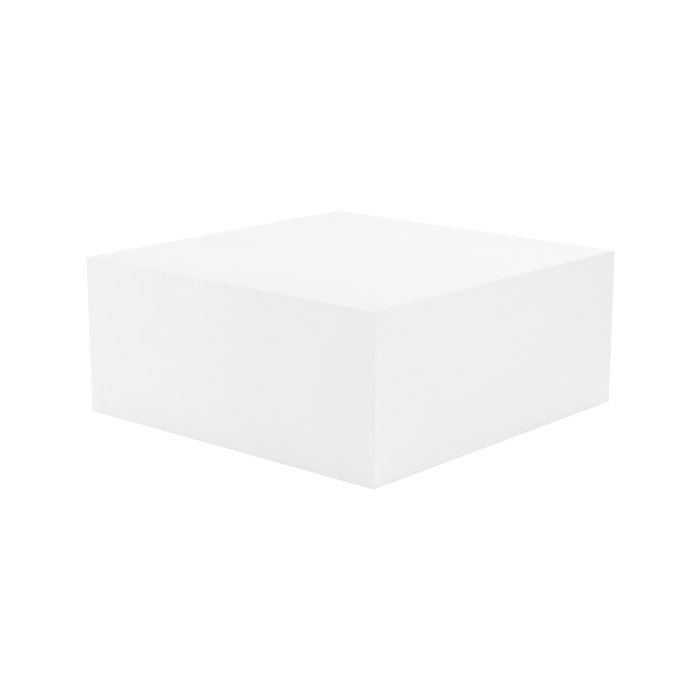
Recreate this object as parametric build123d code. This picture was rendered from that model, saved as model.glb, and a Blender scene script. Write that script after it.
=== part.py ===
from build123d import *
import os
from math import sqrt

# Display plinth: a low square box of lacquered MDF with mitred arrises, open underneath,
# stiffened by softwood and birch plywood, and stood on four swivel levelling feet.
# Millimetres. +Z up, front towards -Y. The origin is on the floor under the centre,
# with the feet wound fully in.

os.makedirs("parts", exist_ok=True)

# ---- driving dimensions: the box
width = 600.0               # along X, outside
depth = 600.0               # along Y, outside
box_height = 254.0          # the lacquered box alone
floor_gap = 0.0             # lower edges stand on the floor with the feet wound in
board = 18.0                # MDF and plywood thickness
arris = 1.0                 # radius sanded on every outside edge

# ---- driving dimensions: the inner frame
post_side = 70.0            # square softwood corner post
post_bore_clear = 1.0       # radial room for the foot's stem inside the post
post_bore_end_clear = 12.0  # room left above the stem's end
batten_thick = 20.0         # softwood under the top and along the base
batten_deep = 44.0
rib_rail_gap = 24.0         # birch plywood cross ribs under the top end this far above the rails
plate_side = 130.0          # birch plywood corner plate that carries a foot

# ---- driving dimensions: the levelling foot, M10
stem_dia = 10.0
stem_length = 50.0          # thread above the hexagon
thread_clear = 0.08         # radial, between stem and nuts
stem_chamfer = 1.0
hex_shoulder = 2.0          # the hexagon's flats stand this far outside the thread
hex_high = 8.0
neck_dia = 8.0
ball_dia = 12.0
ball_clear = 0.1            # radial, ball in its socket
ball_height = 10.5          # ball centre above the floor
pad_dia = 50.0
pad_rim = 4.0               # straight rim of the pad
pad_lip = 1.5               # rim's height above the floor, where the sole stands proud
pad_boss_dia = 24.0
pad_top = 16.0
socket_mouth_dia = 13.4     # flared so that the pad can tilt on its ball
socket_throat_dia = 10.6
throat_drop = 2.6           # flare's depth below the pad's top
sole_dia = 44.0
sole_thick = 3.0
sole_fillet = 0.6
hex_gap = 1.0               # pad's top to the hexagon
nut_gap = 1.5               # hexagon to the lock nut, feet wound in
lock_nut_wall = 3.5         # thread to flat
lock_nut_high = 5.0
hex_corner_share = 0.96     # a nut's corners are turned down to this share of their radius

# ---- driving dimensions: tee nut
barrel_wall = 1.0           # outside the thread
barrel_high = 11.0
flange_rim = 5.0            # flange outside the barrel
flange_thick = 1.5
prong_wide = 3.0
prong_thick = 1.2
prong_high = 7.0
prong_count = 4

# ---- driving dimensions: joinery
biscuit_long = 53.0         # No. 10 beech biscuit
biscuit_wide = 19.0
biscuit_thick = 4.0
slot_long = 61.0
slot_extra_depth = 1.0      # glue room at the bottom of each slot half
biscuit_from_heel = 9.0     # along the mitre, from the inside corner
biscuit_end_margin = 60.0   # first and last biscuit of an edge, from the mitre's inside end
top_biscuits_per_edge = 4
corner_biscuits_per_edge = 2

# ---- driving dimensions: countersunk screws
thin_screw = {"dia": 4.0, "head": 8.0, "long": 30.0}    # rails and battens to the panels
post_screw = {"dia": 5.0, "head": 9.6, "long": 80.0}    # posts to the panels
plate_screw = {"dia": 4.5, "head": 8.8, "long": 45.0}   # plates up into posts and rails
recess_wide = 1.2
recess_share = 0.55         # cross recess span as a share of the head
recess_deep = 1.8
batten_screws = 4
rail_screws = 3
screw_end_margin = 40.0     # first and last screw in a rail or batten, from its end
post_screw_low = 50.0       # lower pair of post screws, above the post's foot
post_screw_high = 48.0      # upper pair, below the post's head
post_screw_offset = 16.0    # the two faces' screws pass each other by this much
plate_screw_edge = 12.0     # post screws in the plate, from the inside faces
plate_rail_screw = 18.0     # rail screws in the plate, beyond the post

# ---- levels and places that follow from the sizes above
box_bottom = floor_gap
box_top = box_bottom + box_height
under_top = box_top - board
inside_x = width / 2 - board
inside_y = depth / 2 - board

hex_bottom = pad_top + hex_gap
hex_top = hex_bottom + hex_high
stem_top = hex_top + stem_length
lock_nut_bottom = hex_top + nut_gap
flange_bottom = lock_nut_bottom + lock_nut_high
plate_bottom = flange_bottom + flange_thick
plate_top = plate_bottom + board
nut_bore = stem_dia / 2 + thread_clear
hex_flats = stem_dia + 2 * hex_shoulder
lock_nut_flats = stem_dia + 2 * lock_nut_wall
barrel_dia = stem_dia + 2 * barrel_wall
flange_dia = barrel_dia + 2 * flange_rim

corners = {
    "front_left": (-1, -1),
    "front_right": (1, -1),
    "back_left": (-1, 1),
    "back_right": (1, 1),
}
post_centre = {
    name: (sx * (inside_x - post_side / 2), sy * (inside_y - post_side / 2))
    for name, (sx, sy) in corners.items()
}
# each side: turn about Z from the front, half the run between inside faces, reach to its inside face
sides = {
    "front": (0, inside_x, inside_y),
    "right": (90, inside_y, inside_x),
    "back": (180, inside_x, inside_y),
    "left": (270, inside_y, inside_x),
}
on_floor = (Align.CENTER, Align.CENTER, Align.MIN)


def spread(count, reach):
    """Evenly spaced places from -reach to reach."""
    if count == 1:
        return [0.0]
    return [reach * (2 * i / (count - 1) - 1) for i in range(count)]


# ---- biscuits and their slots

def lens(length, wide, thick):
    """Flat lens along X, wide along Y, thick along Z, all about its own centre."""
    upper = ThreePointArc((-length / 2, 0), (0, wide / 2), (length / 2, 0))
    lower = ThreePointArc((length / 2, 0), (0, -wide / 2), (-length / 2, 0))
    face = make_face(Wire([upper.edge(), lower.edge()]).edges())
    return Pos(0, 0, -thick / 2) * extrude(face, thick)


def corner_biscuit_places():
    """Across the four upright mitres: long along Z, thick along the mitre."""
    out = biscuit_from_heel / sqrt(2)
    middle = (box_bottom + under_top) / 2
    reach = (under_top - box_bottom) / 2 - biscuit_end_margin
    places = []
    for sx, sy in corners.values():
        for rise in spread(corner_biscuits_per_edge, reach):
            centre = (sx * (inside_x + out), sy * (inside_y + out), middle + rise)
            places.append(Plane(origin=centre, x_dir=(0, 0, 1), z_dir=(sx, sy, 0)).location)
    return places


def top_biscuit_places():
    """Across the four mitres round the top: long along the edge, thick along the mitre."""
    out = biscuit_from_heel / sqrt(2)
    places = []
    for turn, half_run, reach in sides.values():
        for along in spread(top_biscuits_per_edge, half_run - biscuit_end_margin):
            centre = (along, -(reach + out), under_top + out)
            place = Plane(origin=centre, x_dir=(1, 0, 0), z_dir=(0, -1, 1)).location
            places.append(Rot(0, 0, turn) * place)
    return places


biscuit = lens(biscuit_long, biscuit_wide, biscuit_thick)
biscuit_slot = lens(slot_long, biscuit_wide + 2 * slot_extra_depth, biscuit_thick)
corner_places = corner_biscuit_places()
top_places = top_biscuit_places()
slots = Compound([place * biscuit_slot for place in corner_places + top_places])


# ---- screws

def screw(kind, recess=True):
    """Countersunk screw, head face at the origin, pointing along -Z."""
    shank_r = kind["dia"] / 2
    head_r = kind["head"] / 2
    head_high = head_r - shank_r
    tip_high = kind["dia"]
    head = Pos(0, 0, -head_high / 2) * Cone(shank_r, head_r, head_high)
    shank_high = kind["long"] - tip_high
    shank = Pos(0, 0, -shank_high) * Cylinder(shank_r, shank_high, align=on_floor)
    tip = Pos(0, 0, -kind["long"]) * Cone(shank_r / 4, shank_r, tip_high, align=on_floor)
    body = head + shank + tip
    if recess:
        span = kind["head"] * recess_share
        for turn in (0, 90):
            body -= Rot(0, 0, turn) * Box(span, recess_wide, 2 * recess_deep)
    return body


def pointing(x, y, z, direction):
    """Place for a screw whose head is at x, y, z and whose point looks along direction."""
    back = tuple(-part for part in direction)
    return Plane(origin=(x, y, z), z_dir=back).location


def side_screw_places(count, level):
    """Screws from inside through a rail or batten of every side, keyed by side."""
    places = {}
    for name, (turn, side_half, reach) in sides.items():
        last = side_half - post_side - screw_end_margin
        places[name] = [
            Rot(0, 0, turn) * pointing(along, -(reach - batten_thick), level, (0, -1, 0))
            for along in spread(count, last)
        ]
    return places


def post_screw_places(name):
    """Two screws from a post into each of its two panels."""
    sx, sy = corners[name]
    x, y = post_centre[name]
    near_x = sx * (inside_x - post_side)
    near_y = sy * (inside_y - post_side)
    places = []
    for level in (plate_top + post_screw_low, under_top - post_screw_high):
        places.append(pointing(near_x, y, level, (sx, 0, 0)))
        places.append(pointing(x, near_y, level + post_screw_offset, (0, sy, 0)))
    return places


def plate_screw_places(name):
    """Two screws up into the post and one into each rail."""
    sx, sy = corners[name]
    rail_middle = batten_thick / 2
    far = post_side - plate_screw_edge
    beyond = post_side + plate_rail_screw
    spots = [(plate_screw_edge, far), (far, plate_screw_edge),
             (beyond, rail_middle), (rail_middle, beyond)]
    return [
        pointing(sx * (inside_x - a), sy * (inside_y - b), plate_bottom, (0, 0, 1))
        for a, b in spots
    ]


def fill(kind, places, recess=True):
    """One screw at each place, as separate solids."""
    one = screw(kind, recess)
    return Compound([place * one for place in places])


batten_level = under_top - batten_deep / 2
rail_level = plate_top + batten_deep / 2
batten_holes = side_screw_places(batten_screws, batten_level)
rail_holes = side_screw_places(rail_screws, rail_level)
post_holes = {name: post_screw_places(name) for name in corners}
plate_holes = {name: plate_screw_places(name) for name in corners}
every_thin = [p for group in (batten_holes, rail_holes) for ps in group.values() for p in ps]
every_post = [p for ps in post_holes.values() for p in ps]
every_plate = [p for ps in plate_holes.values() for p in ps]


# ---- panels, mitred on every edge that meets another panel

def outside_block():
    """The whole box's outside, with its sanded arrises."""
    block = Pos(0, 0, box_bottom) * Box(width, depth, box_height, align=on_floor)
    return fillet(block.edges(), arris)


def top_panel():
    """Inside size below, full size a board's thickness higher."""
    under_face = Plane.XY.offset(under_top) * Rectangle(2 * inside_x, 2 * inside_y)
    return extrude(under_face, board, taper=-45)


def side_panel(name):
    """Upright panel: full size outside, a board's thickness less inside at its mitres."""
    turn, half_run, reach = sides[name]
    run = 2 * (half_run + board)
    wedge = Wedge(run, board, box_height, board, 0, run - board, box_height - board,
                  align=(Align.CENTER, Align.MIN, Align.MIN))
    return Rot(0, 0, turn) * Pos(0, -(reach + board), box_bottom) * wedge


# ---- inner frame

def corner_post(name):
    x, y = post_centre[name]
    post = Pos(x, y, plate_top) * Box(post_side, post_side, under_top - plate_top, align=on_floor)
    bore_high = stem_top - plate_top + post_bore_end_clear
    bore_r = stem_dia / 2 + post_bore_clear
    post -= Pos(x, y, plate_top) * Cylinder(bore_r, bore_high, align=on_floor)
    return post - fill(post_screw, post_holes[name], False) - fill(plate_screw, plate_holes[name], False)


def side_strip(name, low, holes):
    """A batten or rail between two posts, against its panel."""
    turn, half_run, reach = sides[name]
    run = 2 * (half_run - post_side)
    strip = Pos(0, -(reach - batten_thick / 2), low) * Box(run, batten_thick, batten_deep,
                                                         align=on_floor)
    return Rot(0, 0, turn) * strip - fill(thin_screw, holes[name], False)


def cross_rib(turn, half_run, slot_from_top):
    """Plywood rib under the top, notched over the battens and halved at the crossing."""
    low = plate_top + batten_deep + rib_rail_gap
    rib_deep = under_top - low
    rib = Pos(0, 0, low) * Box(2 * half_run, board, rib_deep, align=on_floor)
    for end in (-1, 1):
        notch = Box(batten_thick, board, batten_deep, align=on_floor)
        rib -= Pos(end * (half_run - batten_thick / 2), 0, under_top - batten_deep) * notch
    half_low = low + rib_deep / 2 if slot_from_top else low
    rib -= Pos(0, 0, half_low) * Box(board, board, rib_deep / 2, align=on_floor)
    return Rot(0, 0, turn) * rib


# ---- levelling foot

def hexagon_block(flats, high):
    """Upright hexagon with its corners turned down at both ends, no bore."""
    hexagon = extrude(RegularPolygon(flats / 2, 6, major_radius=False), high)
    corner = flats / sqrt(3)
    drop = corner * (1 - hex_corner_share)
    turned = Cylinder(corner, high, align=on_floor)
    turned = chamfer(turned.edges().filter_by(GeomType.CIRCLE), drop)
    return hexagon & turned


def tee_nut(name, bored=True):
    x, y = post_centre[name]
    nut = Cylinder(flange_dia / 2, flange_thick, align=on_floor)
    nut += Pos(0, 0, flange_thick) * Cylinder(barrel_dia / 2, barrel_high, align=on_floor)
    ring = flange_dia / 2 - prong_thick
    for place in PolarLocations(ring, prong_count, start_angle=45):
        prong = Box(prong_thick, prong_wide, prong_high, align=on_floor)
        nut += place * Pos(0, 0, flange_thick) * prong
    if bored:
        nut -= Cylinder(nut_bore, flange_thick + barrel_high, align=on_floor)
    return Pos(x, y, flange_bottom) * nut


def foot_plate(name):
    sx, sy = corners[name]
    x = sx * (inside_x - plate_side / 2)
    y = sy * (inside_y - plate_side / 2)
    plate = Pos(x, y, plate_bottom) * Box(plate_side, plate_side, board, align=on_floor)
    px, py = post_centre[name]
    plate -= Pos(px, py, plate_bottom) * Cylinder(barrel_dia / 2, board, align=on_floor)
    return plate - tee_nut(name, False) - fill(plate_screw, plate_holes[name], False)


def lock_nut(name):
    x, y = post_centre[name]
    nut = hexagon_block(lock_nut_flats, lock_nut_high)
    nut -= Cylinder(nut_bore, lock_nut_high, align=on_floor)
    return Pos(x, y, lock_nut_bottom) * nut


def foot_stem(name):
    """Ball, neck, hexagon and threaded stem in one turned piece."""
    x, y = post_centre[name]
    thread = Cylinder(stem_dia / 2, stem_length, align=on_floor)
    thread = chamfer(thread.edges().group_by(Axis.Z)[-1], stem_chamfer)
    stem = Pos(0, 0, hex_top) * thread
    stem += Pos(0, 0, hex_bottom) * hexagon_block(hex_flats, hex_high)
    neck_high = hex_bottom - ball_height
    stem += Pos(0, 0, ball_height) * Cylinder(neck_dia / 2, neck_high, align=on_floor)
    stem += Pos(0, 0, ball_height) * Sphere(ball_dia / 2)
    return Pos(x, y, 0) * stem


def foot_pad(name):
    """Moulded pad: rim, sloping web, boss and ball socket, with a seat for the sole."""
    x, y = post_centre[name]
    rim_top = pad_lip + pad_rim
    outline = Polyline(
        (0, pad_lip), (pad_dia / 2, pad_lip), (pad_dia / 2, rim_top),
        (pad_boss_dia / 2, pad_top - pad_rim), (pad_boss_dia / 2, pad_top), (0, pad_top),
        close=True,
    )
    pad = revolve(Plane.XZ * make_face(outline.edges()), Axis.Z)
    pad -= Cylinder(sole_dia / 2, sole_thick, align=on_floor)
    pad -= Pos(0, 0, ball_height) * Sphere(ball_dia / 2 + ball_clear)
    throat = Cone(socket_throat_dia / 2, socket_mouth_dia / 2, throat_drop, align=on_floor)
    pad -= Pos(0, 0, pad_top - throat_drop) * throat
    return Pos(x, y, 0) * pad


def foot_sole(name):
    x, y = post_centre[name]
    sole = Cylinder(sole_dia / 2, sole_thick, align=on_floor)
    sole = fillet(sole.edges().group_by(Axis.Z)[0], sole_fillet)
    return Pos(x, y, 0) * sole


# ---- build every node

block = outside_block()
pieces = {"top_panel": (top_panel() & block) - slots}
for side in sides:
    pieces[f"{side}_panel"] = (
        (side_panel(side) & block)
        - slots
        - fill(thin_screw, batten_holes[side] + rail_holes[side], False)
        - fill(post_screw, every_post, False)
    )
    pieces[f"top_batten_{side}"] = side_strip(side, under_top - batten_deep, batten_holes)
    rail = side_strip(side, plate_top, rail_holes)
    pieces[f"base_rail_{side}"] = rail - fill(plate_screw, every_plate, False)

pieces["cross_rib_left_right"] = cross_rib(0, inside_x, slot_from_top=True)
pieces["cross_rib_front_back"] = cross_rib(90, inside_y, slot_from_top=False)

for corner in corners:
    pieces[f"corner_post_{corner}"] = corner_post(corner)
    pieces[f"foot_plate_{corner}"] = foot_plate(corner)
    pieces[f"tee_nut_{corner}"] = tee_nut(corner)
    pieces[f"lock_nut_{corner}"] = lock_nut(corner)
    pieces[f"foot_stem_{corner}"] = foot_stem(corner)
    pieces[f"foot_pad_{corner}"] = foot_pad(corner)
    pieces[f"foot_sole_{corner}"] = foot_sole(corner)

pieces["corner_biscuits"] = Compound([place * biscuit for place in corner_places])
pieces["top_biscuits"] = Compound([place * biscuit for place in top_places])
pieces["panel_screws"] = fill(thin_screw, every_thin)
pieces["post_screws"] = fill(post_screw, every_post)
pieces["plate_screws"] = fill(plate_screw, every_plate)

for node, shape in pieces.items():
    export_step(shape, f"parts/{node}.step")
print(f"{len(pieces)} nodes, {width:g} x {depth:g} x {box_top:g} mm standing")
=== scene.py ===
import math

import bmesh
import bpy
from mathutils import Matrix, Vector


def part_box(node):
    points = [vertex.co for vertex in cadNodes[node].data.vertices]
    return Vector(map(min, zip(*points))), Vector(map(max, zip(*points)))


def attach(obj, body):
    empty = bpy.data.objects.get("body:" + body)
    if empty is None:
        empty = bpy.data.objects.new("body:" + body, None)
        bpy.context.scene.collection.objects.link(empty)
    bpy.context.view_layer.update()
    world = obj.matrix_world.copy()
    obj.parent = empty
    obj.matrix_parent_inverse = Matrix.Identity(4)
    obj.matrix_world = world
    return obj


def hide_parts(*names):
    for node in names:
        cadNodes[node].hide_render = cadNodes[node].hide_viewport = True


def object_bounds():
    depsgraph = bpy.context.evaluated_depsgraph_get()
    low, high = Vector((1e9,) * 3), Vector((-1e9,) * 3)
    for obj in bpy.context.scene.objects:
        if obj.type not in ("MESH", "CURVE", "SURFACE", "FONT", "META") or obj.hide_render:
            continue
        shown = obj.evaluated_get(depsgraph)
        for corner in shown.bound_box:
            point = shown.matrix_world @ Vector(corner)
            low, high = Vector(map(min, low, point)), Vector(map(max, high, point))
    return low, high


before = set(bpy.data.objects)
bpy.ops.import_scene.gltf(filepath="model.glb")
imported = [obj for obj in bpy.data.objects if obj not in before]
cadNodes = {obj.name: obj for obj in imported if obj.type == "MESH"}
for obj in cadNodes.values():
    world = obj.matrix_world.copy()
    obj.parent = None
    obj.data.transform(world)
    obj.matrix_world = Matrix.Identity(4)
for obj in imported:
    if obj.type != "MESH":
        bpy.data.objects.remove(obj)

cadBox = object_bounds()
mm = 0.001
halfWidth = cadBox[1].x
halfDepth = cadBox[1].y
topLevel = cadBox[1].z
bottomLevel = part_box("front_panel")[0].z
print("frame loaded:", len(cadNodes), "nodes")


def hexToLinear(code):
    channels = [int(code[i:i + 2], 16) / 255 for i in (1, 3, 5)]
    return [c / 12.92 if c <= 0.04045 else ((c + 0.055) / 1.055) ** 2.4 for c in channels] + [1.0]


def addNode(tree, kind, inputs=(), **settings):
    node = tree.nodes.new(kind)
    for name, value in settings.items():
        setattr(node, name, value)
    for key, value in dict(inputs).items():
        if isinstance(value, bpy.types.NodeSocket):
            tree.links.new(value, node.inputs[key])
        elif isinstance(value, list) and isinstance(value[0], bpy.types.NodeSocket):
            for source in value:
                tree.links.new(source, node.inputs[key])
        else:
            node.inputs[key].default_value = value
    return node


def newMaterial(name):
    material = bpy.data.materials.new(name)
    material.use_nodes = True
    tree = material.node_tree
    tree.nodes.clear()
    place = addNode(tree, "ShaderNodeTexCoord").outputs["Object"]
    return material, tree, place


def finishMaterial(tree, inputs):
    surface = addNode(tree, "ShaderNodeBsdfPrincipled", inputs)
    addNode(tree, "ShaderNodeOutputMaterial", {"Surface": surface.outputs[0]})


# the white the visitor sees, and the bare board on the inside of the same panels
lacquer = {
    "white": "#E7E7E7", "dullWhite": "#E5E5E5",
    "cloudSize": 0.22, "cloudRoughness": (0.36, 0.46),
    "peelSize": 5.0 * mm,       # real orange peel is about 1.5 mm, drawn coarser so that it shows
    "peelDepth": 0.012 * mm,
    "skin": 0.6 * mm,           # how far inside the outline still counts as outside face
    "oversprayHigh": 30 * mm, "oversprayMist": 40 * mm,
    "boardPale": "#C3A57E", "boardDark": "#9F7F58", "boardRoughness": 0.88,
    "fibreSize": 1.2 * mm,
}


def makeLacquer():
    # two-pack satin acrylic lacquer, sprayed on MDF: a soft even sheen with faint orange peel,
    # and on the inside the felted light brown of bare board with overspray near its lower edge
    material, tree, place = newMaterial("satinAcrylicLacquerOnMdf")
    s = lacquer
    xyz = addNode(tree, "ShaderNodeSeparateXYZ", {0: place}).outputs
    awayX = addNode(tree, "ShaderNodeMath", {0: xyz["X"]}, operation="ABSOLUTE").outputs[0]
    awayY = addNode(tree, "ShaderNodeMath", {0: xyz["Y"]}, operation="ABSOLUTE").outputs[0]
    toSide = addNode(tree, "ShaderNodeMath", {0: halfWidth, 1: awayX}, operation="SUBTRACT").outputs[0]
    toFront = addNode(tree, "ShaderNodeMath", {0: halfDepth, 1: awayY}, operation="SUBTRACT").outputs[0]
    toTop = addNode(tree, "ShaderNodeMath", {0: topLevel, 1: xyz["Z"]}, operation="SUBTRACT").outputs[0]
    nearest = addNode(tree, "ShaderNodeMath", {0: toSide, 1: toFront}, operation="MINIMUM").outputs[0]
    nearest = addNode(tree, "ShaderNodeMath", {0: nearest, 1: toTop}, operation="MINIMUM").outputs[0]
    toEdge = addNode(tree, "ShaderNodeMath",
                     {0: xyz["Z"], 1: bottomLevel}, operation="SUBTRACT").outputs[0]
    nearest = addNode(tree, "ShaderNodeMath", {0: nearest, 1: toEdge}, operation="MINIMUM").outputs[0]
    outside = addNode(tree, "ShaderNodeMath",
                      {0: nearest, 1: s["skin"]}, operation="LESS_THAN").outputs[0]

    mist = addNode(tree, "ShaderNodeTexNoise",
                   {"Vector": place, "Scale": 1 / s["oversprayMist"], "Detail": 6.0, "Roughness": 0.7})
    rise = addNode(tree, "ShaderNodeMapRange",
                   {"Value": xyz["Z"], "From Min": bottomLevel,
                    "From Max": bottomLevel + s["oversprayHigh"], "To Min": 1.1, "To Max": 0.0}).outputs[0]
    spray = addNode(tree, "ShaderNodeMath",
                    {0: rise, 1: mist.outputs[0]}, operation="MULTIPLY").outputs[0]
    spray = addNode(tree, "ShaderNodeMapRange",
                    {"Value": spray, "From Min": 0.2, "From Max": 0.5}).outputs[0]
    painted = addNode(tree, "ShaderNodeMath", {0: outside, 1: spray}, operation="MAXIMUM").outputs[0]

    cloud = addNode(tree, "ShaderNodeTexNoise",
                    {"Vector": place, "Scale": 1 / s["cloudSize"],
                     "Detail": 3.0, "Roughness": 0.5}).outputs[0]
    cloud = addNode(tree, "ShaderNodeMapRange",
                    {"Value": cloud, "From Min": 0.3, "From Max": 0.7}).outputs[0]
    white = addNode(tree, "ShaderNodeMix",
                    {0: cloud, 6: hexToLinear(s["white"]), 7: hexToLinear(s["dullWhite"])},
                    data_type="RGBA").outputs[2]
    fibre = addNode(tree, "ShaderNodeTexNoise",
                    {"Vector": place, "Scale": 1 / s["fibreSize"],
                     "Detail": 4.0, "Roughness": 0.75}).outputs[0]
    fibre = addNode(tree, "ShaderNodeMapRange",
                    {"Value": fibre, "From Min": 0.35, "From Max": 0.65}).outputs[0]
    board = addNode(tree, "ShaderNodeMix",
                    {0: fibre, 6: hexToLinear(s["boardDark"]), 7: hexToLinear(s["boardPale"])},
                    data_type="RGBA").outputs[2]
    colour = addNode(tree, "ShaderNodeMix",
                     {0: painted, 6: board, 7: white}, data_type="RGBA").outputs[2]

    polished, dull = s["cloudRoughness"]
    sheen = addNode(tree, "ShaderNodeMapRange",
                    {"Value": cloud, "To Min": polished, "To Max": dull}).outputs[0]
    rough = addNode(tree, "ShaderNodeMix", {0: painted, 2: s["boardRoughness"], 3: sheen}).outputs[0]
    peel = addNode(tree, "ShaderNodeTexNoise",
                   {"Vector": place, "Scale": 1 / s["peelSize"],
                    "Detail": 1.5, "Roughness": 0.4}).outputs[0]
    bump = addNode(tree, "ShaderNodeBump",
                   {"Height": peel, "Distance": s["peelDepth"], "Strength": 1.0})
    finishMaterial(tree, {"Base Color": colour, "Roughness": rough, "Normal": bump.outputs[0]})
    return material


studio = {
    "floorColour": "#FDFDFD", "floorReach": 40.0, "toothSize": 3 * mm, "toothDepth": 0.01 * mm,
    # painted light: the sweep glows by itself round the foot of the plinth, lifting the shade along the
    # plinth's lower edges, and to the camera it looks pure white all over
    "paintedFootGlow": 0.12, "paintedFootGlowReach": 0.2, "whiteGlow": 0.25,
    "roomColour": "#FFFFFF", "roomLight": 0.83,
}


def makeFloor():
    # matt paper sweep: plain and almost white, seen through from below, with a painted glow round the foot
    # of the plinth
    material, tree, place = newMaterial("mattPaperSweepWithPaintedGlow")
    tooth = addNode(tree, "ShaderNodeTexNoise",
                    {"Vector": place, "Scale": 1 / studio["toothSize"], "Detail": 2.0}).outputs[0]
    bump = addNode(tree, "ShaderNodeBump", {"Height": tooth, "Distance": studio["toothDepth"]})
    paper = addNode(tree, "ShaderNodeBsdfDiffuse",
                    {"Color": hexToLinear(studio["floorColour"]), "Normal": bump.outputs[0]})
    xyz = addNode(tree, "ShaderNodeSeparateXYZ", {0: place}).outputs
    awayX = addNode(tree, "ShaderNodeMath", {0: xyz["X"]}, operation="ABSOLUTE").outputs[0]
    awayY = addNode(tree, "ShaderNodeMath", {0: xyz["Y"]}, operation="ABSOLUTE").outputs[0]
    awayX = addNode(tree, "ShaderNodeMath", {0: awayX, 1: halfWidth}, operation="SUBTRACT").outputs[0]
    awayY = addNode(tree, "ShaderNodeMath", {0: awayY, 1: halfDepth}, operation="SUBTRACT").outputs[0]
    away = addNode(tree, "ShaderNodeMath", {0: awayX, 1: awayY}, operation="MAXIMUM").outputs[0]
    # painted light: the floor glows, strongest right against the plinth and gone 0.2 m out, filling in the
    # shade at its foot
    strength = addNode(tree, "ShaderNodeMapRange",
                       {"Value": away, "From Max": studio["paintedFootGlowReach"],
                        "To Min": studio["paintedFootGlow"], "To Max": 0.0}).outputs[0]
    outside = addNode(tree, "ShaderNodeMath", {0: away, 1: 0.0}, operation="GREATER_THAN").outputs[0]
    strength = addNode(tree, "ShaderNodeMath",
                       {0: strength, 1: outside}, operation="MULTIPLY").outputs[0]
    direct = addNode(tree, "ShaderNodeLightPath").outputs["Is Camera Ray"]
    strength = addNode(tree, "ShaderNodeMath", {0: direct, 1: studio["whiteGlow"], 2: strength},
                       operation="MULTIPLY_ADD").outputs[0]
    glow = addNode(tree, "ShaderNodeEmission", {"Strength": strength})
    lit = addNode(tree, "ShaderNodeAddShader", {0: paper.outputs[0], 1: glow.outputs[0]})
    clear = addNode(tree, "ShaderNodeBsdfTransparent")
    under = addNode(tree, "ShaderNodeNewGeometry").outputs["Backfacing"]
    both = addNode(tree, "ShaderNodeMixShader", {0: under, 1: lit.outputs[0], 2: clear.outputs[0]})
    addNode(tree, "ShaderNodeOutputMaterial", {"Surface": both.outputs[0]})
    reach = studio["floorReach"]
    mesh = bpy.data.meshes.new("studioFloor")
    mesh.from_pydata([(-reach, -reach, 0), (reach, -reach, 0), (reach, reach, 0), (-reach, reach, 0)], [],
                     [(0, 1, 2, 3)])
    mesh.materials.append(material)
    floor = bpy.data.objects.new("studioFloor", mesh)
    bpy.context.scene.collection.objects.link(floor)


def makeWorld():
    world = bpy.data.worlds.new("whiteRoom")
    bpy.context.scene.world = world
    world.use_nodes = True
    world.node_tree.nodes.clear()
    tree = world.node_tree
    direct = addNode(tree, "ShaderNodeLightPath").outputs["Is Camera Ray"]
    strength = addNode(tree, "ShaderNodeMix", {0: direct, 2: studio["roomLight"], 3: 1.0}).outputs[0]
    room = addNode(tree, "ShaderNodeBackground",
                   {"Color": hexToLinear(studio["roomColour"]), "Strength": strength})
    addNode(tree, "ShaderNodeOutputWorld", {"Surface": room.outputs[0]})


# soft boxes: where each stands, what it faces, its size and its power
softBoxes = {
    "leftBox": {"place": (-2.2, -1.6, 1.1), "aim": (-0.3, -0.2, 0.1), "size": (1.2, 1.2), "watts": 18.5},
    "overheadBox": {"place": (0.2, 0.6, 2.2), "aim": (0.0, 0.1, 0.2), "size": (1.6, 1.6), "watts": 14.8},
    "rightBox": {"place": (1.3, -0.35, 0.45), "aim": (0.3, -0.2, 0.12), "size": (0.8, 0.8), "watts": 1.4},
}


def makeLights():
    for name, s in softBoxes.items():
        light = bpy.data.lights.new(name, "AREA")
        light.shape = "RECTANGLE"
        light.size, light.size_y = s["size"]
        light.energy = s["watts"]
        lamp = bpy.data.objects.new(name, light)
        lamp.visible_glossy = False     # broad and flat, without a hot spot in the lacquer
        lamp.location = s["place"]
        lamp.rotation_euler = (Vector(s["aim"]) - Vector(s["place"])).to_track_quat("-Z", "Y").to_euler()
        bpy.context.scene.collection.objects.link(lamp)


camera = {
    "azimuth": 41.2, "elevation": 14.06,    # degrees, from the front to the right, and above the floor
    "distance": 2.7767, "lens": 87.36,
    "right": -0.005, "up": 0.0921,          # metres the camera is moved across its own view
}


def makeCamera():
    turn, rise = math.radians(camera["azimuth"]), math.radians(camera["elevation"])
    back = Vector((math.sin(turn) * math.cos(rise), -math.cos(turn) * math.cos(rise), math.sin(rise)))
    right = Vector((math.cos(turn), math.sin(turn), 0))
    up = back.cross(right)
    data = bpy.data.cameras.new("studioCamera")
    data.lens = camera["lens"]
    data.sensor_width = 36
    data.clip_start, data.clip_end = 0.05, 100
    cam = bpy.data.objects.new("studioCamera", data)
    cam.location = back * camera["distance"] + right * camera["right"] + up * camera["up"]
    cam.rotation_euler = back.to_track_quat("Z", "Y").to_euler()
    bpy.context.scene.collection.objects.link(cam)
    bpy.context.scene.camera = cam
    bpy.context.scene.view_settings.view_transform = "Standard"


# a threaded rod, with or without a countersunk head, stood at every point of the mesh it is given
rodInputs = ("Head Diameter", "Outer Diameter", "Core Diameter", "Length", "Pitch",
             "Tip Diameter", "Tip Slope", "Recess Span", "Recess Width", "Recess Depth")
rodCounts = ("Sides", "Rows Per Turn", "Seed")


def newGroup(name, sizes, counts=(), switches=()):
    tree = bpy.data.node_groups.new(name, "GeometryNodeTree")
    face = tree.interface
    face.new_socket("Geometry", in_out="INPUT", socket_type="NodeSocketGeometry")
    for names, kind in ((sizes, "NodeSocketFloat"), (counts, "NodeSocketInt"), (switches, "NodeSocketBool"),
                        (("Material",), "NodeSocketMaterial")):
        for size in names:
            face.new_socket(size, in_out="INPUT", socket_type=kind)
    face.new_socket("Geometry", in_out="OUTPUT", socket_type="NodeSocketGeometry")
    return tree, addNode(tree, "NodeGroupInput").outputs


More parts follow.
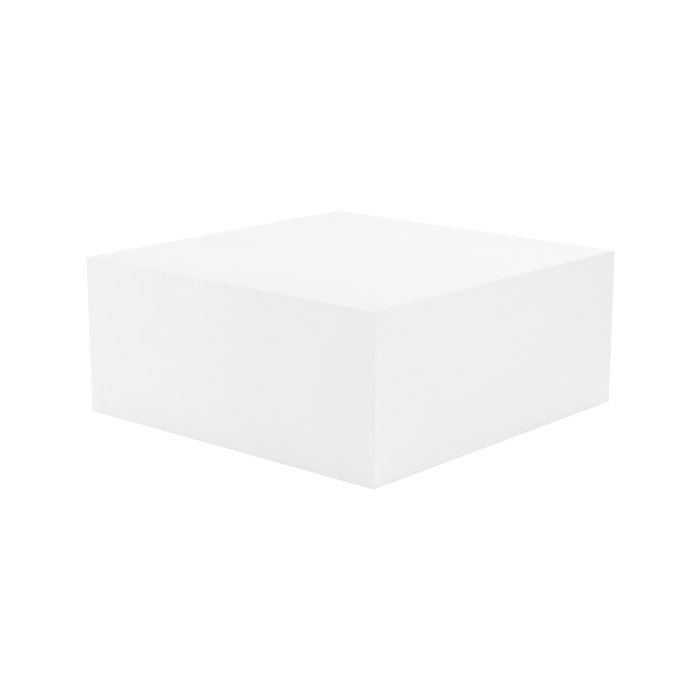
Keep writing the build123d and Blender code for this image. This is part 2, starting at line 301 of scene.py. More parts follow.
def closeGroup(tree, geometry, material):
    real = addNode(tree, "GeometryNodeRealizeInstances", {0: geometry}).outputs[0]
    dressed = addNode(tree, "GeometryNodeSetMaterial",
                      {"Geometry": real, "Material": material}).outputs[0]
    addNode(tree, "NodeGroupOutput", {0: dressed})
    return tree


def makeRodGroup():
    tree, given = newGroup("threadedRods", rodInputs, rodCounts, ("Recessed",))
    turns = addNode(tree, "ShaderNodeMath",
                    {0: given["Length"], 1: given["Pitch"]}, operation="DIVIDE").outputs[0]
    rows = addNode(tree, "ShaderNodeMath",
                   {0: turns, 1: given["Rows Per Turn"]}, operation="MULTIPLY").outputs[0]
    bar = addNode(tree, "GeometryNodeMeshCylinder",
                  {"Vertices": given["Sides"], "Side Segments": rows,
                   "Radius": 1.0, "Depth": given["Length"]})
    position = addNode(tree, "GeometryNodeInputPosition").outputs[0]
    xyz = addNode(tree, "ShaderNodeSeparateXYZ", {0: position}).outputs
    depth = addNode(tree, "ShaderNodeMath",
                    {0: given["Length"], 1: 0.5}, operation="MULTIPLY").outputs[0]
    depth = addNode(tree, "ShaderNodeMath", {0: depth, 1: xyz["Z"]}, operation="SUBTRACT").outputs[0]
    # the thread: a ridge that climbs one pitch for each turn, right-handed
    angle = addNode(tree, "ShaderNodeMath", {0: xyz["Y"], 1: xyz["X"]}, operation="ARCTAN2").outputs[0]
    angle = addNode(tree, "ShaderNodeMath", {0: angle, 1: math.tau}, operation="DIVIDE").outputs[0]
    climb = addNode(tree, "ShaderNodeMath",
                    {0: depth, 1: given["Pitch"]}, operation="DIVIDE").outputs[0]
    climb = addNode(tree, "ShaderNodeMath", {0: climb, 1: angle}, operation="ADD").outputs[0]
    ridge = addNode(tree, "ShaderNodeMath", {0: climb, 1: 0.5}, operation="PINGPONG").outputs[0]
    rise = addNode(tree, "ShaderNodeMath", {0: given["Outer Diameter"], 1: given["Core Diameter"]},
                   operation="SUBTRACT").outputs[0]
    core = addNode(tree, "ShaderNodeMath",
                   {0: given["Core Diameter"], 1: 2.0}, operation="DIVIDE").outputs[0]
    radius = addNode(tree, "ShaderNodeMath",
                     {0: ridge, 1: rise, 2: core}, operation="MULTIPLY_ADD").outputs[0]
    toTip = addNode(tree, "ShaderNodeMath",
                    {0: given["Length"], 1: depth}, operation="SUBTRACT").outputs[0]
    tip = addNode(tree, "ShaderNodeMath",
                  {0: given["Tip Diameter"], 1: 2.0}, operation="DIVIDE").outputs[0]
    tip = addNode(tree, "ShaderNodeMath",
                  {0: toTip, 1: given["Tip Slope"], 2: tip}, operation="MULTIPLY_ADD").outputs[0]
    radius = addNode(tree, "ShaderNodeMath", {0: radius, 1: tip}, operation="MINIMUM").outputs[0]
    head = addNode(tree, "ShaderNodeMath",
                   {0: given["Head Diameter"], 1: 2.0}, operation="DIVIDE").outputs[0]
    head = addNode(tree, "ShaderNodeMath", {0: head, 1: depth}, operation="SUBTRACT").outputs[0]
    radius = addNode(tree, "ShaderNodeMath", {0: radius, 1: head}, operation="MAXIMUM").outputs[0]
    level = addNode(tree, "ShaderNodeMath", {0: depth, 1: -1.0}, operation="MULTIPLY").outputs[0]
    newX = addNode(tree, "ShaderNodeMath", {0: xyz["X"], 1: radius}, operation="MULTIPLY").outputs[0]
    newY = addNode(tree, "ShaderNodeMath", {0: xyz["Y"], 1: radius}, operation="MULTIPLY").outputs[0]
    shaped = addNode(tree, "ShaderNodeCombineXYZ", {"X": newX, "Y": newY, "Z": level}).outputs[0]
    bar = addNode(tree, "GeometryNodeSetPosition",
                  {"Geometry": bar.outputs["Mesh"], "Position": shaped}).outputs[0]
    bar = addNode(tree, "GeometryNodeMergeByDistance",
                  {"Geometry": bar, "Distance": 0.01 * mm}).outputs[0]
    # the cross recess: one blade a shade deeper than the other, so that their floors don't fall together
    cut = bar
    for along, across, share in (("Recess Span", "Recess Width", 2.0),
                                 ("Recess Width", "Recess Span", 2.1)):
        high = addNode(tree, "ShaderNodeMath",
                       {0: given["Recess Depth"], 1: share}, operation="MULTIPLY").outputs[0]
        size = addNode(tree, "ShaderNodeCombineXYZ",
                       {"X": given[along], "Y": given[across], "Z": high}).outputs[0]
        blade = addNode(tree, "GeometryNodeMeshCube", {"Size": size}).outputs["Mesh"]
        cut = addNode(tree, "GeometryNodeMeshBoolean", {"Mesh 1": cut, "Mesh 2": blade},
                      operation="DIFFERENCE").outputs["Mesh"]
    one = addNode(tree, "GeometryNodeSwitch", {"Switch": given["Recessed"], "False": bar, "True": cut},
                  input_type="GEOMETRY").outputs[0]
    heading = addNode(tree, "GeometryNodeInputNamedAttribute", {"Name": "heading"},
                      data_type="FLOAT_VECTOR").outputs["Attribute"]
    upright = addNode(tree, "FunctionNodeAlignRotationToVector",
                      {"Vector": heading}, axis="Z").outputs[0]
    rods = addNode(tree, "GeometryNodeInstanceOnPoints",
                   {"Points": given["Geometry"], "Instance": one, "Rotation": upright}).outputs[0]
    # each was driven home to its own angle
    anyTurn = addNode(tree, "FunctionNodeRandomValue", {"Max": (0, 0, math.tau), "Seed": given["Seed"]},
                      data_type="FLOAT_VECTOR").outputs[0]
    rods = addNode(tree, "GeometryNodeRotateInstances",
                   {"Instances": rods, "Rotation": anyTurn}).outputs[0]
    return closeGroup(tree, rods, given["Material"])


def grow(piece, tree, values):
    # runs a geometry tree on a piece and keeps the result as its plain mesh
    modifier = piece.modifiers.new("grow", "NODES")
    modifier.node_group = tree
    identifiers = {item.name: item.identifier
                   for item in tree.interface.items_tree if item.in_out == "INPUT"}
    for name, value in values.items():
        modifier[identifiers[name]] = value
    grown = bpy.data.meshes.new_from_object(piece.evaluated_get(bpy.context.evaluated_depsgraph_get()))
    piece.modifiers.clear()
    grown.materials.clear()
    grown.materials.append(values["Material"])
    grown.polygons.foreach_set("material_index", [0] * len(grown.polygons))
    piece.data = grown
    return piece


def smooth(mesh, degrees=32):
    mesh.shade_smooth()
    mesh.set_sharp_from_angle(angle=math.radians(degrees))


def newPiece(name, vertices, faces, material=None):
    mesh = bpy.data.meshes.new(name)
    mesh.from_pydata(vertices, [], faces)
    if material:
        mesh.materials.append(material)
    piece = bpy.data.objects.new(name, mesh)
    bpy.context.scene.collection.objects.link(piece)
    return piece


def rodsAt(name, points, headings, values, material):
    piece = newPiece(name, points, [])
    heading = piece.data.attributes.new("heading", "FLOAT_VECTOR", "POINT")
    heading.data.foreach_set("vector", [part for direction in headings for part in direction])
    grow(piece, rodGroup, {**values, "Material": material})
    smooth(piece.data)
    return piece


def finishPiece(piece, body, slot, *nodes):
    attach(piece, body)
    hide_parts(*nodes)


# wood screws, coarse thread and cross recess: the shank and pitch of each kind
screwKinds = {
    "panel_screws": {"shank": 4.0 * mm, "pitch": 1.8 * mm},
    "post_screws": {"shank": 5.0 * mm, "pitch": 2.4 * mm},
    "plate_screws": {"shank": 4.5 * mm, "pitch": 2.2 * mm},
}
screwShape = {
    "core": 0.62,               # core of the thread, as a share of the shank
    "tip": 1.5,                 # the point's length, as a share of its diameter
    "span": 0.52,               # cross recess, as a share of the head
    "slot": 1.1 * mm, "deep": 1.4 * mm,
    "sides": 14, "rows": 4,     # corners round the rod, and rings of them to each turn of thread
}


def islands(name):
    # the separate solids of a CAD node, as lists of their corners
    work = bmesh.new()
    work.from_mesh(cadNodes[name].data)
    bmesh.ops.remove_doubles(work, verts=work.verts, dist=0.002 * mm)
    seen = set()
    for start in work.verts:
        if start in seen:
            continue
        seen.add(start)
        front, found = [start], []
        while front:
            vert = front.pop()
            found.append(vert.co.copy())
            for edge in vert.link_edges:
                other = edge.other_vert(vert)
                if other not in seen:
                    seen.add(other)
                    front.append(other)
        yield found
    work.free()


def makeScrews(node):
    points, headings = [], []
    for found in islands(node):
        low = Vector([min(c[i] for c in found) for i in range(3)])
        high = Vector([max(c[i] for c in found) for i in range(3)])
        spans = high - low
        axis = max(range(3), key=lambda i: spans[i])
        across = (axis + 1) % 3
        centre = (low + high) / 2
        nearHigh = max(abs(c[across] - centre[across]) for c in found if high[axis] - c[axis] < 0.1 * mm)
        nearLow = max(abs(c[across] - centre[across]) for c in found if c[axis] - low[axis] < 0.1 * mm)
        heading = Vector((0, 0, 0))
        heading[axis] = 1.0 if nearHigh > nearLow else -1.0
        centre[axis] = high[axis] if nearHigh > nearLow else low[axis]
        points.append(centre)
        headings.append(heading)
    kind, shape = screwKinds[node], screwShape
    headDiameter, length = spans[across], spans[axis]
    name = node.split("_")[0] + "Screws"
    piece = rodsAt(name, points, headings, {
        "Head Diameter": headDiameter, "Outer Diameter": kind["shank"],
        "Core Diameter": kind["shank"] * shape["core"], "Length": length, "Pitch": kind["pitch"],
        "Tip Diameter": 0.0, "Tip Slope": 0.5 / shape["tip"],
        "Recess Span": headDiameter * shape["span"], "Recess Width": shape["slot"],
        "Recess Depth": shape["deep"],
        "Sides": shape["sides"], "Rows Per Turn": shape["rows"], "Seed": len(points), "Recessed": True,
    }, yellowZinc)
    finishPiece(piece, "plinth_box", "yellow_zinc_steel", node)


foot = {
    "threadLength": 50 * mm, "threadOuter": 10 * mm, "threadCore": 8.16 * mm, "threadPitch": 1.5 * mm,
    "threadEnd": 8.0 * mm,
    "collar": 0.6 * mm,         # plain run-out above the hexagon
    "sides": 28, "rows": 6,
    "ribs": 12, "ribThick": 1.8 * mm, "ribDeep": 4.0 * mm,
    "webDrop": 1.7 * mm,        # how far the web lies below the ribs
    "draft": 0.3 * mm,          # how far the rim's inner wall leans, so that it leaves the mould
    "rim": 4.0 * mm, "rimWall": 1.9 * mm, "lip": 1.5 * mm, "bossRadius": 12 * mm, "round": 0.5 * mm,
    "ballRadius": 6.1 * mm, "ballHeight": 10.5 * mm, "mouthRadius": 6.7 * mm, "throatRadius": 5.3 * mm,
    "throatDrop": 2.6 * mm,
    "grooveGap": 2.6 * mm, "grooveWide": 1.1 * mm, "grooveDeep": 0.7 * mm, "grooveLean": 0.165 * mm,
    "soleRound": 0.6 * mm,
    "steps": 72,
}


def turned(name, profile, centre, steps, material):
    # a closed outline of radius and height, from the axis round to the axis, turned about an upright line
    work = bmesh.new()
    rings = []
    for radius, height in profile:
        if radius < 1e-6:
            rings.append([work.verts.new((centre.x, centre.y, height))] * steps)
        else:
            rings.append([work.verts.new((centre.x + radius * math.cos(i * math.tau / steps),
                                          centre.y + radius * math.sin(i * math.tau / steps), height))
                          for i in range(steps)])
    for lower, upper in zip(rings, rings[1:]):
        for i in range(steps):
            j = (i + 1) % steps
            quad = [lower[i], lower[j], upper[j], upper[i]]
            distinct = [v for k, v in enumerate(quad) if v not in quad[:k]]
            if len(distinct) > 2:
                work.faces.new(distinct)
    bmesh.ops.recalc_face_normals(work, faces=work.faces)
    piece = newPiece(name, [], [], material)
    work.to_mesh(piece.data)
    work.free()
    return piece


def arcPoints(centre, radius, start, end, count):
    # points along an arc, angles in degrees from the radius direction
    angles = [math.radians(start + (end - start) * i / count) for i in range(count + 1)]
    return [(centre[0] + radius * math.cos(a), centre[1] + radius * math.sin(a)) for a in angles]


def makeRibGroup():
    # radial ribs that climb from the rim to the boss, joined to the pad they stand on
    sizes = ("Inner Radius", "Outer Radius", "Inner Height", "Slope", "Thickness", "Depth")
    tree, given = newGroup("radialRibs", sizes, ("Count",))
    length = addNode(tree, "ShaderNodeMath", {0: given["Outer Radius"], 1: given["Inner Radius"]},
                     operation="SUBTRACT").outputs[0]
    size = addNode(tree, "ShaderNodeCombineXYZ",
                   {"X": length, "Y": given["Thickness"], "Z": given["Depth"]})
    rib = addNode(tree, "GeometryNodeMeshCube", {"Size": size.outputs[0]}).outputs["Mesh"]
    middle = addNode(tree, "ShaderNodeMath", {0: length, 1: 0.5, 2: given["Inner Radius"]},
                     operation="MULTIPLY_ADD").outputs[0]
    drop = addNode(tree, "ShaderNodeMath", {0: given["Depth"], 1: -0.5, 2: given["Inner Height"]},
                   operation="MULTIPLY_ADD").outputs[0]
    place = addNode(tree, "ShaderNodeCombineXYZ", {"X": middle, "Z": drop}).outputs[0]
    rib = addNode(tree, "GeometryNodeTransform", {"Geometry": rib, "Translation": place}).outputs[0]
    position = addNode(tree, "GeometryNodeInputPosition").outputs[0]
    outX = addNode(tree, "ShaderNodeSeparateXYZ", {0: position}).outputs["X"]
    outX = addNode(tree, "ShaderNodeMath",
                   {0: given["Inner Radius"], 1: outX}, operation="SUBTRACT").outputs[0]
    fall = addNode(tree, "ShaderNodeMath",
                   {0: outX, 1: given["Slope"]}, operation="MULTIPLY").outputs[0]
    fall = addNode(tree, "ShaderNodeCombineXYZ", {"Z": fall}).outputs[0]
    rib = addNode(tree, "GeometryNodeSetPosition", {"Geometry": rib, "Offset": fall}).outputs[0]
    points = addNode(tree, "GeometryNodePoints", {"Count": given["Count"]}).outputs[0]
    index = addNode(tree, "GeometryNodeInputIndex").outputs[0]
    share = addNode(tree, "ShaderNodeMath",
                    {0: index, 1: given["Count"]}, operation="DIVIDE").outputs[0]
    angle = addNode(tree, "ShaderNodeMath", {0: share, 1: math.tau}, operation="MULTIPLY").outputs[0]
    spin = addNode(tree, "ShaderNodeCombineXYZ", {"Z": angle}).outputs[0]
    ribs = addNode(tree, "GeometryNodeInstanceOnPoints",
                   {"Points": points, "Instance": rib, "Rotation": spin})
    both = addNode(tree, "GeometryNodeJoinGeometry",
                   {0: [given["Geometry"], ribs.outputs[0]]}).outputs[0]
    return closeGroup(tree, both, given["Material"])


def makePad(corner):
    # moulded foot pad: rim, web below its ribs, boss and the socket for the ball
    s = foot
    low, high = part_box(f"foot_pad_{corner}")
    axis = (low + high) / 2
    outer = (high.x - low.x) / 2
    soleLow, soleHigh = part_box(f"foot_sole_{corner}")
    seat = (soleHigh.x - soleLow.x) / 2
    rimTop = s["lip"] + s["rim"]
    slope = (high.z - s["rim"] - rimTop) / (outer - s["bossRadius"])
    rootHigh = high.z - s["rim"]
    inner = outer - s["rimWall"]
    webRim = rimTop + slope * (outer - inner) - s["webDrop"]
    soft = s["round"]
    ballAngle = math.degrees(math.acos(s["throatRadius"] / s["ballRadius"]))
    profile = [
        (0, soleHigh.z), (seat, soleHigh.z), (seat, s["lip"]),
        *arcPoints((outer - soft, s["lip"] + soft), soft, -90, 0, 3),
        *arcPoints((outer - soft, rimTop - soft), soft, 0, 90, 3),
        (inner, rimTop), (inner - s["draft"], webRim), (s["bossRadius"] + soft, rootHigh - s["webDrop"]),
        (s["bossRadius"], rootHigh - s["webDrop"] + soft),
        *arcPoints((s["bossRadius"] - soft, high.z - soft), soft, 0, 90, 3),
        (s["mouthRadius"], high.z), (s["throatRadius"], high.z - s["throatDrop"]),
        *arcPoints((0, s["ballHeight"]), s["ballRadius"], ballAngle, -90, 12),
    ]
    profile[-1] = (0, profile[-1][1])
    pad = turned(f"ribbedPad_{corner}", profile, Vector((0, 0)), s["steps"], blackNylon)
    grow(pad, ribGroup, {
        "Inner Radius": s["bossRadius"] - soft, "Outer Radius": inner + soft, "Inner Height": rootHigh,
        "Slope": slope, "Thickness": s["ribThick"], "Depth": s["ribDeep"], "Count": s["ribs"],
        "Material": blackNylon,
    })
    pad.data.transform(Matrix.Translation((axis.x, axis.y, 0)))
    smooth(pad.data)
    finishPiece(pad, "floor_pads", "black_nylon", f"foot_pad_{corner}")


def makeSole(corner):
    # rubber sole with round grooves that grip the floor
    s = foot
    low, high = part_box(f"foot_sole_{corner}")
    axis = (low + high) / 2
    outer = (high.x - low.x) / 2
    soft = s["soleRound"]
    profile = [(0, high.z), (outer, high.z), *arcPoints((outer - soft, low.z + soft), soft, 0, -90, 4)]
    reach = outer - s["grooveGap"]
    ceiling = low.z + s["grooveDeep"]
    while reach > s["grooveGap"]:
        inside = reach - s["grooveWide"]
        profile += [(reach, low.z), (reach - s["grooveLean"], ceiling),
                    (inside + s["grooveLean"], ceiling), (inside, low.z)]
        reach -= s["grooveGap"]
    profile.append((0, low.z))
    sole = turned(f"treadedSole_{corner}", profile, axis, s["steps"], greyRubber)
    smooth(sole.data)
    finishPiece(sole, "floor_pads", "grey_rubber", f"foot_sole_{corner}")


def makeStem(corner):
    # the CAD ball, neck and hexagon with a real thread above them
    s = foot
    node = f"foot_stem_{corner}"
    low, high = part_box(node)
    axis = (low + high) / 2
    shoulder = high.z - s["threadLength"] + s["collar"]
    work = bmesh.new()
    work.from_mesh(cadNodes[node].data)
    bmesh.ops.remove_doubles(work, verts=work.verts, dist=0.002 * mm)
    cut = bmesh.ops.bisect_plane(work, geom=work.verts[:] + work.edges[:] + work.faces[:], dist=1e-7,
                                 plane_co=(0, 0, shoulder), plane_no=(0, 0, 1), clear_outer=True)
    rimEdges = [item for item in cut["geom_cut"] if isinstance(item, bmesh.types.BMEdge)]
    bmesh.ops.contextual_create(work, geom=rimEdges)
    foundation = s["collar"] / 2
    rod = rodsAt("thread", [(axis.x, axis.y, shoulder - foundation)], [(0, 0, -1)], {
        "Head Diameter": 0.0, "Outer Diameter": s["threadOuter"], "Core Diameter": s["threadCore"],
        "Length": s["threadLength"] - s["collar"] + foundation, "Pitch": s["threadPitch"],
        "Tip Diameter": s["threadEnd"], "Tip Slope": 1.0, "Recess Span": 0.0, "Recess Width": 0.0,
        "Recess Depth": 0.0, "Sides": s["sides"], "Rows Per Turn": s["rows"], "Seed": 1, "Recessed": False,
    }, brightZinc)
    work.from_mesh(rod.data)
    stem = newPiece(f"threadedStem_{corner}", [], [], brightZinc)
    work.to_mesh(stem.data)
    work.free()
    bpy.data.objects.remove(rod)
    smooth(stem.data)
    finishPiece(stem, f"stem_{corner}", "zinc_plated_steel", node)


def dress(names, material):
    for name in names:
        node = cadNodes[name]
        node.data.materials.clear()
        node.data.materials.append(material)


pine = {
    "early": "#E2C193", "late": "#C2945F", "knot": "#80522C",
    "ringGap": 3.5 * mm,        # growth rings
    "swaySize": 45 * mm, "sway": 12 * mm,   # how the rings wander from true circles
    "pith": (62 * mm, 95 * mm),  # how far the middle of the tree lies from the middle of the plinth
    "fibre": 0.8 * mm,          # real fibres are about 0.04 mm, drawn coarser so that they show
    "knotGap": 260 * mm, "knotSize": 7 * mm,
    "planing": 0.02 * mm,
}
grainTurns = {"X": (0, math.pi / 2, 0), "Y": (math.pi / 2, 0, 0), "Z": (0, 0, 0)}


def makePine(along):
    # planed pine, left bare: pale earlywood with darker latewood lines, a few small knots, no gloss
    material, tree, place = newMaterial(f"planedPineAlong{along}")
    s = pine
    grain = addNode(tree, "ShaderNodeMapping", {0: place, 2: grainTurns[along]}).outputs[0]
    slow = addNode(tree, "ShaderNodeMapping", {0: grain, 3: (1, 1, 0.06)}).outputs[0]
    sway = addNode(tree, "ShaderNodeTexNoise",
                   {"Vector": slow, "Scale": 1 / s["swaySize"], "Detail": 2.0}).outputs["Color"]
    sway = addNode(tree, "ShaderNodeVectorMath",
                   {0: sway, 1: (s["sway"], s["sway"], 0)}, operation="MULTIPLY").outputs[0]
    bent = addNode(tree, "ShaderNodeVectorMath", {0: grain, 1: sway}, operation="ADD").outputs[0]
    heart = addNode(tree, "ShaderNodeMapping", {0: bent, 1: (*s["pith"], 0)}).outputs[0]
    # a ring wave turns once every tau / 20 of its own length
    rings = addNode(tree, "ShaderNodeTexWave", {"Vector": heart, "Scale": math.tau / 20 / s["ringGap"]},
                    wave_type="RINGS", rings_direction="Z", wave_profile="SAW").outputs["Fac"]
    rings = addNode(tree, "ShaderNodeMath", {0: rings, 1: 2.6}, operation="POWER").outputs[0]
    strands = addNode(tree, "ShaderNodeMapping", {0: grain, 3: (1, 1, 0.02)}).outputs[0]
    fibres = addNode(tree, "ShaderNodeTexNoise",
                     {"Vector": strands, "Scale": 1 / s["fibre"], "Detail": 3.0}).outputs[0]
    spots = addNode(tree, "ShaderNodeMapping", {0: bent, 3: (1, 1, 0.5)}).outputs[0]
    knots = addNode(tree, "ShaderNodeTexVoronoi",
                    {"Vector": spots, "Scale": 1 / s["knotGap"]}).outputs["Distance"]
    knotEdge = s["knotSize"] / s["knotGap"]
    knots = addNode(tree, "ShaderNodeMapRange",
                    {"Value": knots, "From Min": knotEdge * 0.7, "From Max": knotEdge,
                     "To Min": 1.0, "To Max": 0.0})
    lines = addNode(tree, "ShaderNodeMath", {0: fibres, 1: 0.5}, operation="SUBTRACT").outputs[0]
    tone = addNode(tree, "ShaderNodeMath", {0: lines, 1: 0.5, 2: rings}, operation="MULTIPLY_ADD",
                   use_clamp=True).outputs[0]
    wood = addNode(tree, "ShaderNodeMix",
                   {0: tone, 6: hexToLinear(s["early"]), 7: hexToLinear(s["late"])},
                   data_type="RGBA").outputs[2]
    colour = addNode(tree, "ShaderNodeMix", {0: knots.outputs[0], 6: wood, 7: hexToLinear(s["knot"])},
                     data_type="RGBA").outputs[2]
    rough = addNode(tree, "ShaderNodeMapRange",
                    {"Value": tone, "To Min": 0.72, "To Max": 0.56}).outputs[0]
    bump = addNode(tree, "ShaderNodeBump", {"Height": fibres, "Distance": s["planing"]}).outputs[0]
    finishMaterial(tree, {"Base Color": colour, "Roughness": rough, "Normal": bump})
    return material


birch = {
    "pale": "#E9D5B2", "flame": "#D9BC8E", "endGrain": "#B48A5C", "glue": "#6E4A2E",
    "plies": 13, "innerTint": 0.8, "glueTint": 0.75,
    "glueLine": 0.12,           # as a share of one ply, drawn coarser than the real tenth of a millimetre
    "flameSize": 28 * mm, "fibre": 0.7 * mm, "sanding": 0.015 * mm,
}
axisOf = {"X": 0, "Y": 1, "Z": 2}


def makePlywood(through, low, high):
    # birch plywood, sanded: pale flamed veneer on its two faces, and on its sawn edges pale and
    # brown plies in turn with dark glue lines between them
    material, tree, place = newMaterial(f"sandedBirchPlywood{through}")
    s = birch
    xyz = addNode(tree, "ShaderNodeSeparateXYZ", {0: place}).outputs
    ply = addNode(tree, "ShaderNodeMapRange",
                  {"Value": xyz[axisOf[through]], "From Min": low, "From Max": high,
                   "To Min": 0.001, "To Max": s["plies"] - 0.001}).outputs[0]
    stretch = (1, 0.05, 1) if through == "X" else (0.05, 1, 1)
    lines = addNode(tree, "ShaderNodeMapping", {0: place, 3: stretch})
    fibres = addNode(tree, "ShaderNodeTexNoise",
                     {"Vector": lines.outputs[0], "Scale": 1 / s["fibre"], "Detail": 3.0}).outputs[0]
    flame = addNode(tree, "ShaderNodeTexNoise",
                    {"Vector": lines.outputs[0], "Scale": 1 / s["flameSize"],
                     "Detail": 4.0, "Distortion": 1.2})
    tone = addNode(tree, "ShaderNodeMath",
                   {0: fibres, 1: 0.35, 2: flame.outputs[0]}, operation="MULTIPLY_ADD")
    tone = addNode(tree, "ShaderNodeMapRange",
                   {"Value": tone.outputs[0], "From Min": 0.45, "From Max": 0.95})
    veneer = addNode(tree, "ShaderNodeMix",
                     {0: tone.outputs[0], 6: hexToLinear(s["pale"]), 7: hexToLinear(s["flame"])},
                     data_type="RGBA").outputs[2]
    layer = addNode(tree, "ShaderNodeMath", {0: ply}, operation="FLOOR").outputs[0]
    odd = addNode(tree, "ShaderNodeMath", {0: layer, 1: 2.0}, operation="MODULO").outputs[0]
    odd = addNode(tree, "ShaderNodeMath", {0: odd, 1: s["innerTint"]}, operation="MULTIPLY").outputs[0]
    layered = addNode(tree, "ShaderNodeMix", {0: odd, 6: veneer, 7: hexToLinear(s["endGrain"])},
                      data_type="RGBA").outputs[2]
    joint = addNode(tree, "ShaderNodeMath", {0: ply, 1: 0.5}, operation="ADD").outputs[0]
    joint = addNode(tree, "ShaderNodeMath", {0: joint}, operation="FRACT").outputs[0]
    joint = addNode(tree, "ShaderNodeMath",
                    {0: joint, 1: 0.5, 2: s["glueLine"]}, operation="COMPARE").outputs[0]
    inner = addNode(tree, "ShaderNodeMath", {0: ply, 1: s["plies"] / 2, 2: s["plies"] / 2 - 0.5},
                    operation="COMPARE").outputs[0]
    joint = addNode(tree, "ShaderNodeMath", {0: joint, 1: inner}, operation="MULTIPLY").outputs[0]
    joint = addNode(tree, "ShaderNodeMath", {0: joint, 1: s["glueTint"]}, operation="MULTIPLY").outputs[0]
    colour = addNode(tree, "ShaderNodeMix", {0: joint, 6: layered, 7: hexToLinear(s["glue"])},
                     data_type="RGBA").outputs[2]
    rough = addNode(tree, "ShaderNodeMapRange",
                    {"Value": tone.outputs[0], "To Min": 0.5, "To Max": 0.66}).outputs[0]
    bump = addNode(tree, "ShaderNodeBump", {"Height": fibres, "Distance": s["sanding"]}).outputs[0]
    finishMaterial(tree, {"Base Color": colour, "Roughness": rough, "Normal": bump})
    return material


beech = {"wood": "#C9A176", "dark": "#A9784B", "fleck": 1.8 * mm, "pressing": 0.02 * mm}


def makeBeech():
    # pressed beech: tight pinkish brown wood with short darker flecks along the grain, dull
    material, tree, place = newMaterial("pressedBeech")
    s = beech
    grain = addNode(tree, "ShaderNodeMapping", {0: place, 3: (1, 1, 0.2)}).outputs[0]
    fleck = addNode(tree, "ShaderNodeTexNoise",
                    {"Vector": grain, "Scale": 1 / s["fleck"], "Detail": 3.0, "Roughness": 0.6}).outputs[0]
    tone = addNode(tree, "ShaderNodeMapRange",
                   {"Value": fleck, "From Min": 0.4, "From Max": 0.7}).outputs[0]
    colour = addNode(tree, "ShaderNodeMix",
                     {0: tone, 6: hexToLinear(s["wood"]), 7: hexToLinear(s["dark"])},
                     data_type="RGBA").outputs[2]
    rough = addNode(tree, "ShaderNodeMapRange",
                    {"Value": tone, "To Min": 0.6, "To Max": 0.75}).outputs[0]
    bump = addNode(tree, "ShaderNodeBump", {"Height": fleck, "Distance": s["pressing"]}).outputs[0]
    finishMaterial(tree, {"Base Color": colour, "Roughness": rough, "Normal": bump})
    return material


platings = {
    "brightZincPlatedSteel": {
        "colours": ("#C8CCD0", "#BCC2C9"), "rough": (0.3, 0.42), "spangle": 3 * mm,
        "marks": 0.5 * mm, "markDepth": 0.008 * mm,
    },
    "yellowPassivatedZincSteel": {
        "colours": ("#D8B65E", "#B98E6A"), "rough": (0.28, 0.4), "spangle": 2.5 * mm,
        "marks": 0.5 * mm, "markDepth": 0.008 * mm,
    },
}


def makePlating(name):
    # electroplated steel: a thin bright metal with soft cloudy patches; bright zinc is bluish,
    # yellow passivation drifts from gold to pink. Fine turning marks dull the gloss a little
    material, tree, place = newMaterial(name)
    s = platings[name]
    cloud = addNode(tree, "ShaderNodeTexNoise",
                    {"Vector": place, "Scale": 1 / s["spangle"],
                     "Detail": 2.0, "Distortion": 0.6}).outputs[0]
    cloud = addNode(tree, "ShaderNodeMapRange",
                    {"Value": cloud, "From Min": 0.35, "From Max": 0.65}).outputs[0]
    first, second = s["colours"]
    colour = addNode(tree, "ShaderNodeMix", {0: cloud, 6: hexToLinear(first), 7: hexToLinear(second)},
                     data_type="RGBA").outputs[2]
    polished, dull = s["rough"]
    rough = addNode(tree, "ShaderNodeMapRange",
                    {"Value": cloud, "To Min": polished, "To Max": dull}).outputs[0]
    marks = addNode(tree, "ShaderNodeTexNoise",
                    {"Vector": place, "Scale": 1 / s["marks"], "Detail": 2.0}).outputs[0]
    bump = addNode(tree, "ShaderNodeBump", {"Height": marks, "Distance": s["markDepth"]}).outputs[0]
    finishMaterial(tree, {"Base Color": colour, "Metallic": 1.0, "Roughness": rough, "Normal": bump})
    return material


mouldings = {
    # eroded mould texture and a faint bloom
    "mouldedBlackNylon": {"colours": ("#191A1B", "#242526"), "rough": (0.42, 0.58), "grain": 0.6 * mm,
                          "depth": 0.03 * mm, "bloom": 9 * mm, "ior": 1.53},
    # dusty, without gloss
    "greyRubber": {"colours": ("#4B4D4E", "#5C5E5E"), "rough": (0.8, 0.92), "grain": 1.2 * mm,
                   "depth": 0.05 * mm, "bloom": 9 * mm, "ior": 1.52},
}


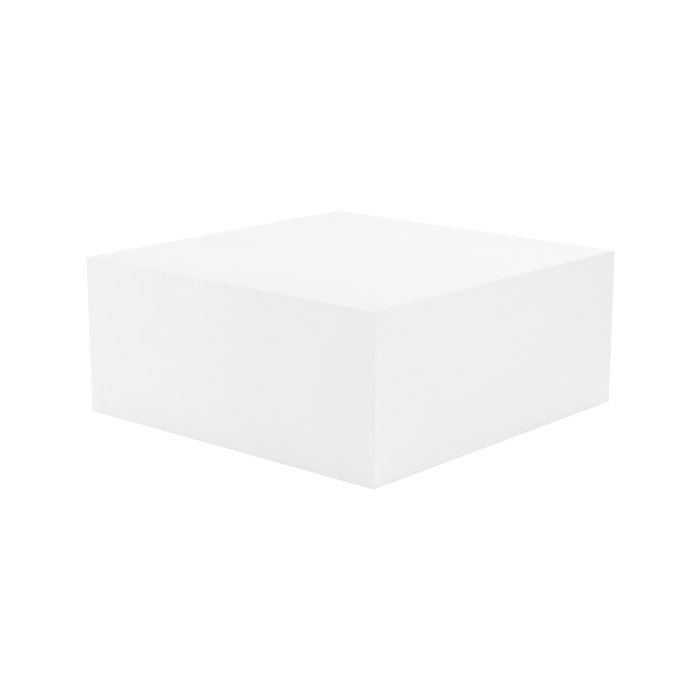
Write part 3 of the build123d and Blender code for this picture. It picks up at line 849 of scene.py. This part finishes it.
def makeMoulding(name):
    # moulded polymer: one body colour with a slight bloom over it, and the fine grain of its mould
    material, tree, place = newMaterial(name)
    s = mouldings[name]
    bloom = addNode(tree, "ShaderNodeTexNoise",
                    {"Vector": place, "Scale": 1 / s["bloom"], "Detail": 4.0}).outputs[0]
    bloom = addNode(tree, "ShaderNodeMapRange",
                    {"Value": bloom, "From Min": 0.35, "From Max": 0.7}).outputs[0]
    deep, light = s["colours"]
    colour = addNode(tree, "ShaderNodeMix", {0: bloom, 6: hexToLinear(deep), 7: hexToLinear(light)},
                     data_type="RGBA").outputs[2]
    polished, dull = s["rough"]
    rough = addNode(tree, "ShaderNodeMapRange",
                    {"Value": bloom, "To Min": polished, "To Max": dull}).outputs[0]
    grain = addNode(tree, "ShaderNodeTexNoise",
                    {"Vector": place, "Scale": 1 / s["grain"], "Detail": 2.0}).outputs[0]
    bump = addNode(tree, "ShaderNodeBump", {"Height": grain, "Distance": s["depth"]}).outputs[0]
    finishMaterial(tree, {"Base Color": colour, "Roughness": rough, "Normal": bump, "IOR": s["ior"]})
    return material


makeCamera()
makeWorld()
makeFloor()
makeLights()
print("studio ready")

sides = ("front", "right", "back", "left")
corners = ("front_left", "front_right", "back_left", "back_right")

dress(["top_panel"] + [f"{side}_panel" for side in sides], makeLacquer())
print("panels lacquered")

pineAlong = {axis: makePine(axis) for axis in "XYZ"}
for side in sides:
    dress([f"top_batten_{side}", f"base_rail_{side}"], pineAlong["X" if side in ("front", "back") else "Y"])
dress([f"corner_post_{corner}" for corner in corners], pineAlong["Z"])
print("pine frame finished")

plateLow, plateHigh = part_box("foot_plate_front_left")
dress([f"foot_plate_{corner}" for corner in corners], makePlywood("Z", plateLow.z, plateHigh.z))
ribLow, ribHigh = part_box("cross_rib_left_right")
dress(["cross_rib_left_right"], makePlywood("Y", ribLow.y, ribHigh.y))
ribLow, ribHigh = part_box("cross_rib_front_back")
dress(["cross_rib_front_back"], makePlywood("X", ribLow.x, ribHigh.x))
dress(["corner_biscuits", "top_biscuits"], makeBeech())
print("plywood and biscuits finished")

brightZinc = makePlating("brightZincPlatedSteel")
yellowZinc = makePlating("yellowPassivatedZincSteel")
blackNylon = makeMoulding("mouldedBlackNylon")
greyRubber = makeMoulding("greyRubber")
dress([f"{piece}_{corner}" for piece in ("tee_nut", "lock_nut", "foot_stem") for corner in corners],
      brightZinc)
dress([f"foot_pad_{corner}" for corner in corners], blackNylon)
dress([f"foot_sole_{corner}" for corner in corners], greyRubber)
dress(["panel_screws", "post_screws", "plate_screws"], yellowZinc)
print("metal and mouldings finished")

rodGroup = makeRodGroup()
ribGroup = makeRibGroup()
for node in screwKinds:
    makeScrews(node)
print("screws driven")
for corner in corners:
    makePad(corner)
    makeSole(corner)
    makeStem(corner)
print("levelling feet finished")
